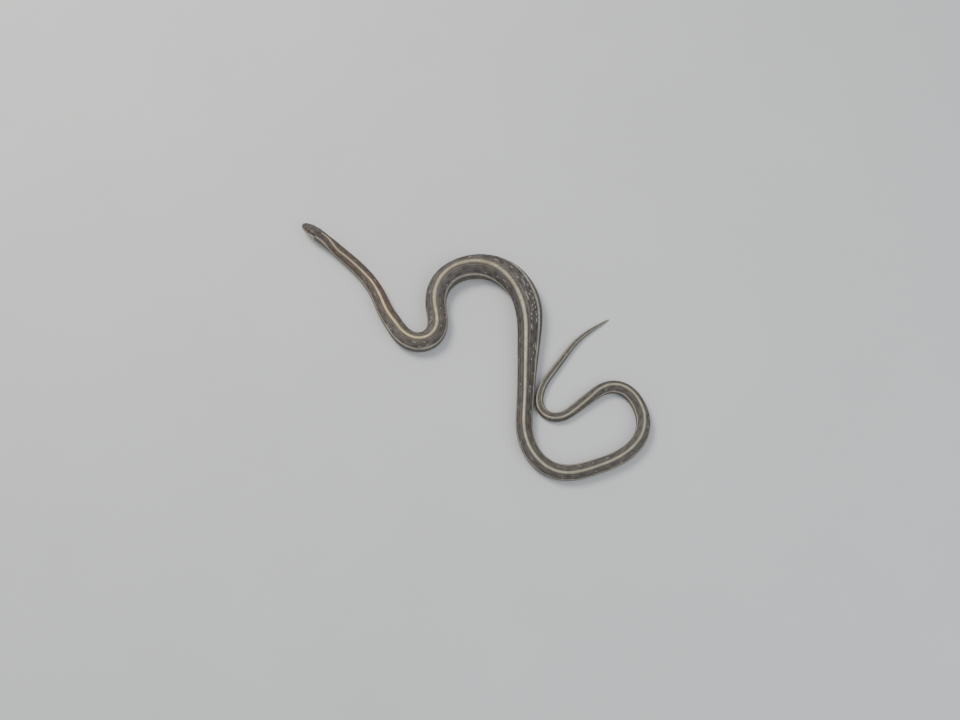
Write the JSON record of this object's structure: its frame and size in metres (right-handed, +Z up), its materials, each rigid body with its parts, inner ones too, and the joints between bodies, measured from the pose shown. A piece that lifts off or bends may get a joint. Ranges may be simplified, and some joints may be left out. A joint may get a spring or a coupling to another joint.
{
  "type": "garter snake",
  "caption": "Life-size still model of a slender striped garter snake lying in loose bends, with a keeled-scale body, shielded head and thin tapering tail",
  "frame": {"origin": "centre of the snake's outline on the floor, at the level of its belly", "axes": "+X across the pose from the head's side to the tail's loop, +Y away from the viewer of the picture, +Z up from the floor"},
  "size_m": [0.2421, 0.1909, 0.0141],
  "materials": {
    "head": "smooth satin head shields, dark grey-brown above with pale lips",
    "eye": "glossy dark brown eye with a round black pupil",
    "body": "keeled scales, dark olive-brown with three pale lengthwise stripes and small white flecks"
  },
  "bodies": {
    "root": {"head": "head", "eye_left": "eye", "eye_right": "eye", "neck": "body", "torso_1": "body", "torso_2": "body", "torso_3": "body", "torso_4": "body", "torso_5": "body", "torso_6": "body", "torso_7": "body", "torso_8": "body", "tail_1": "body", "tail_2": "body", "tail_3": "body"}
  },
  "joints": []
}
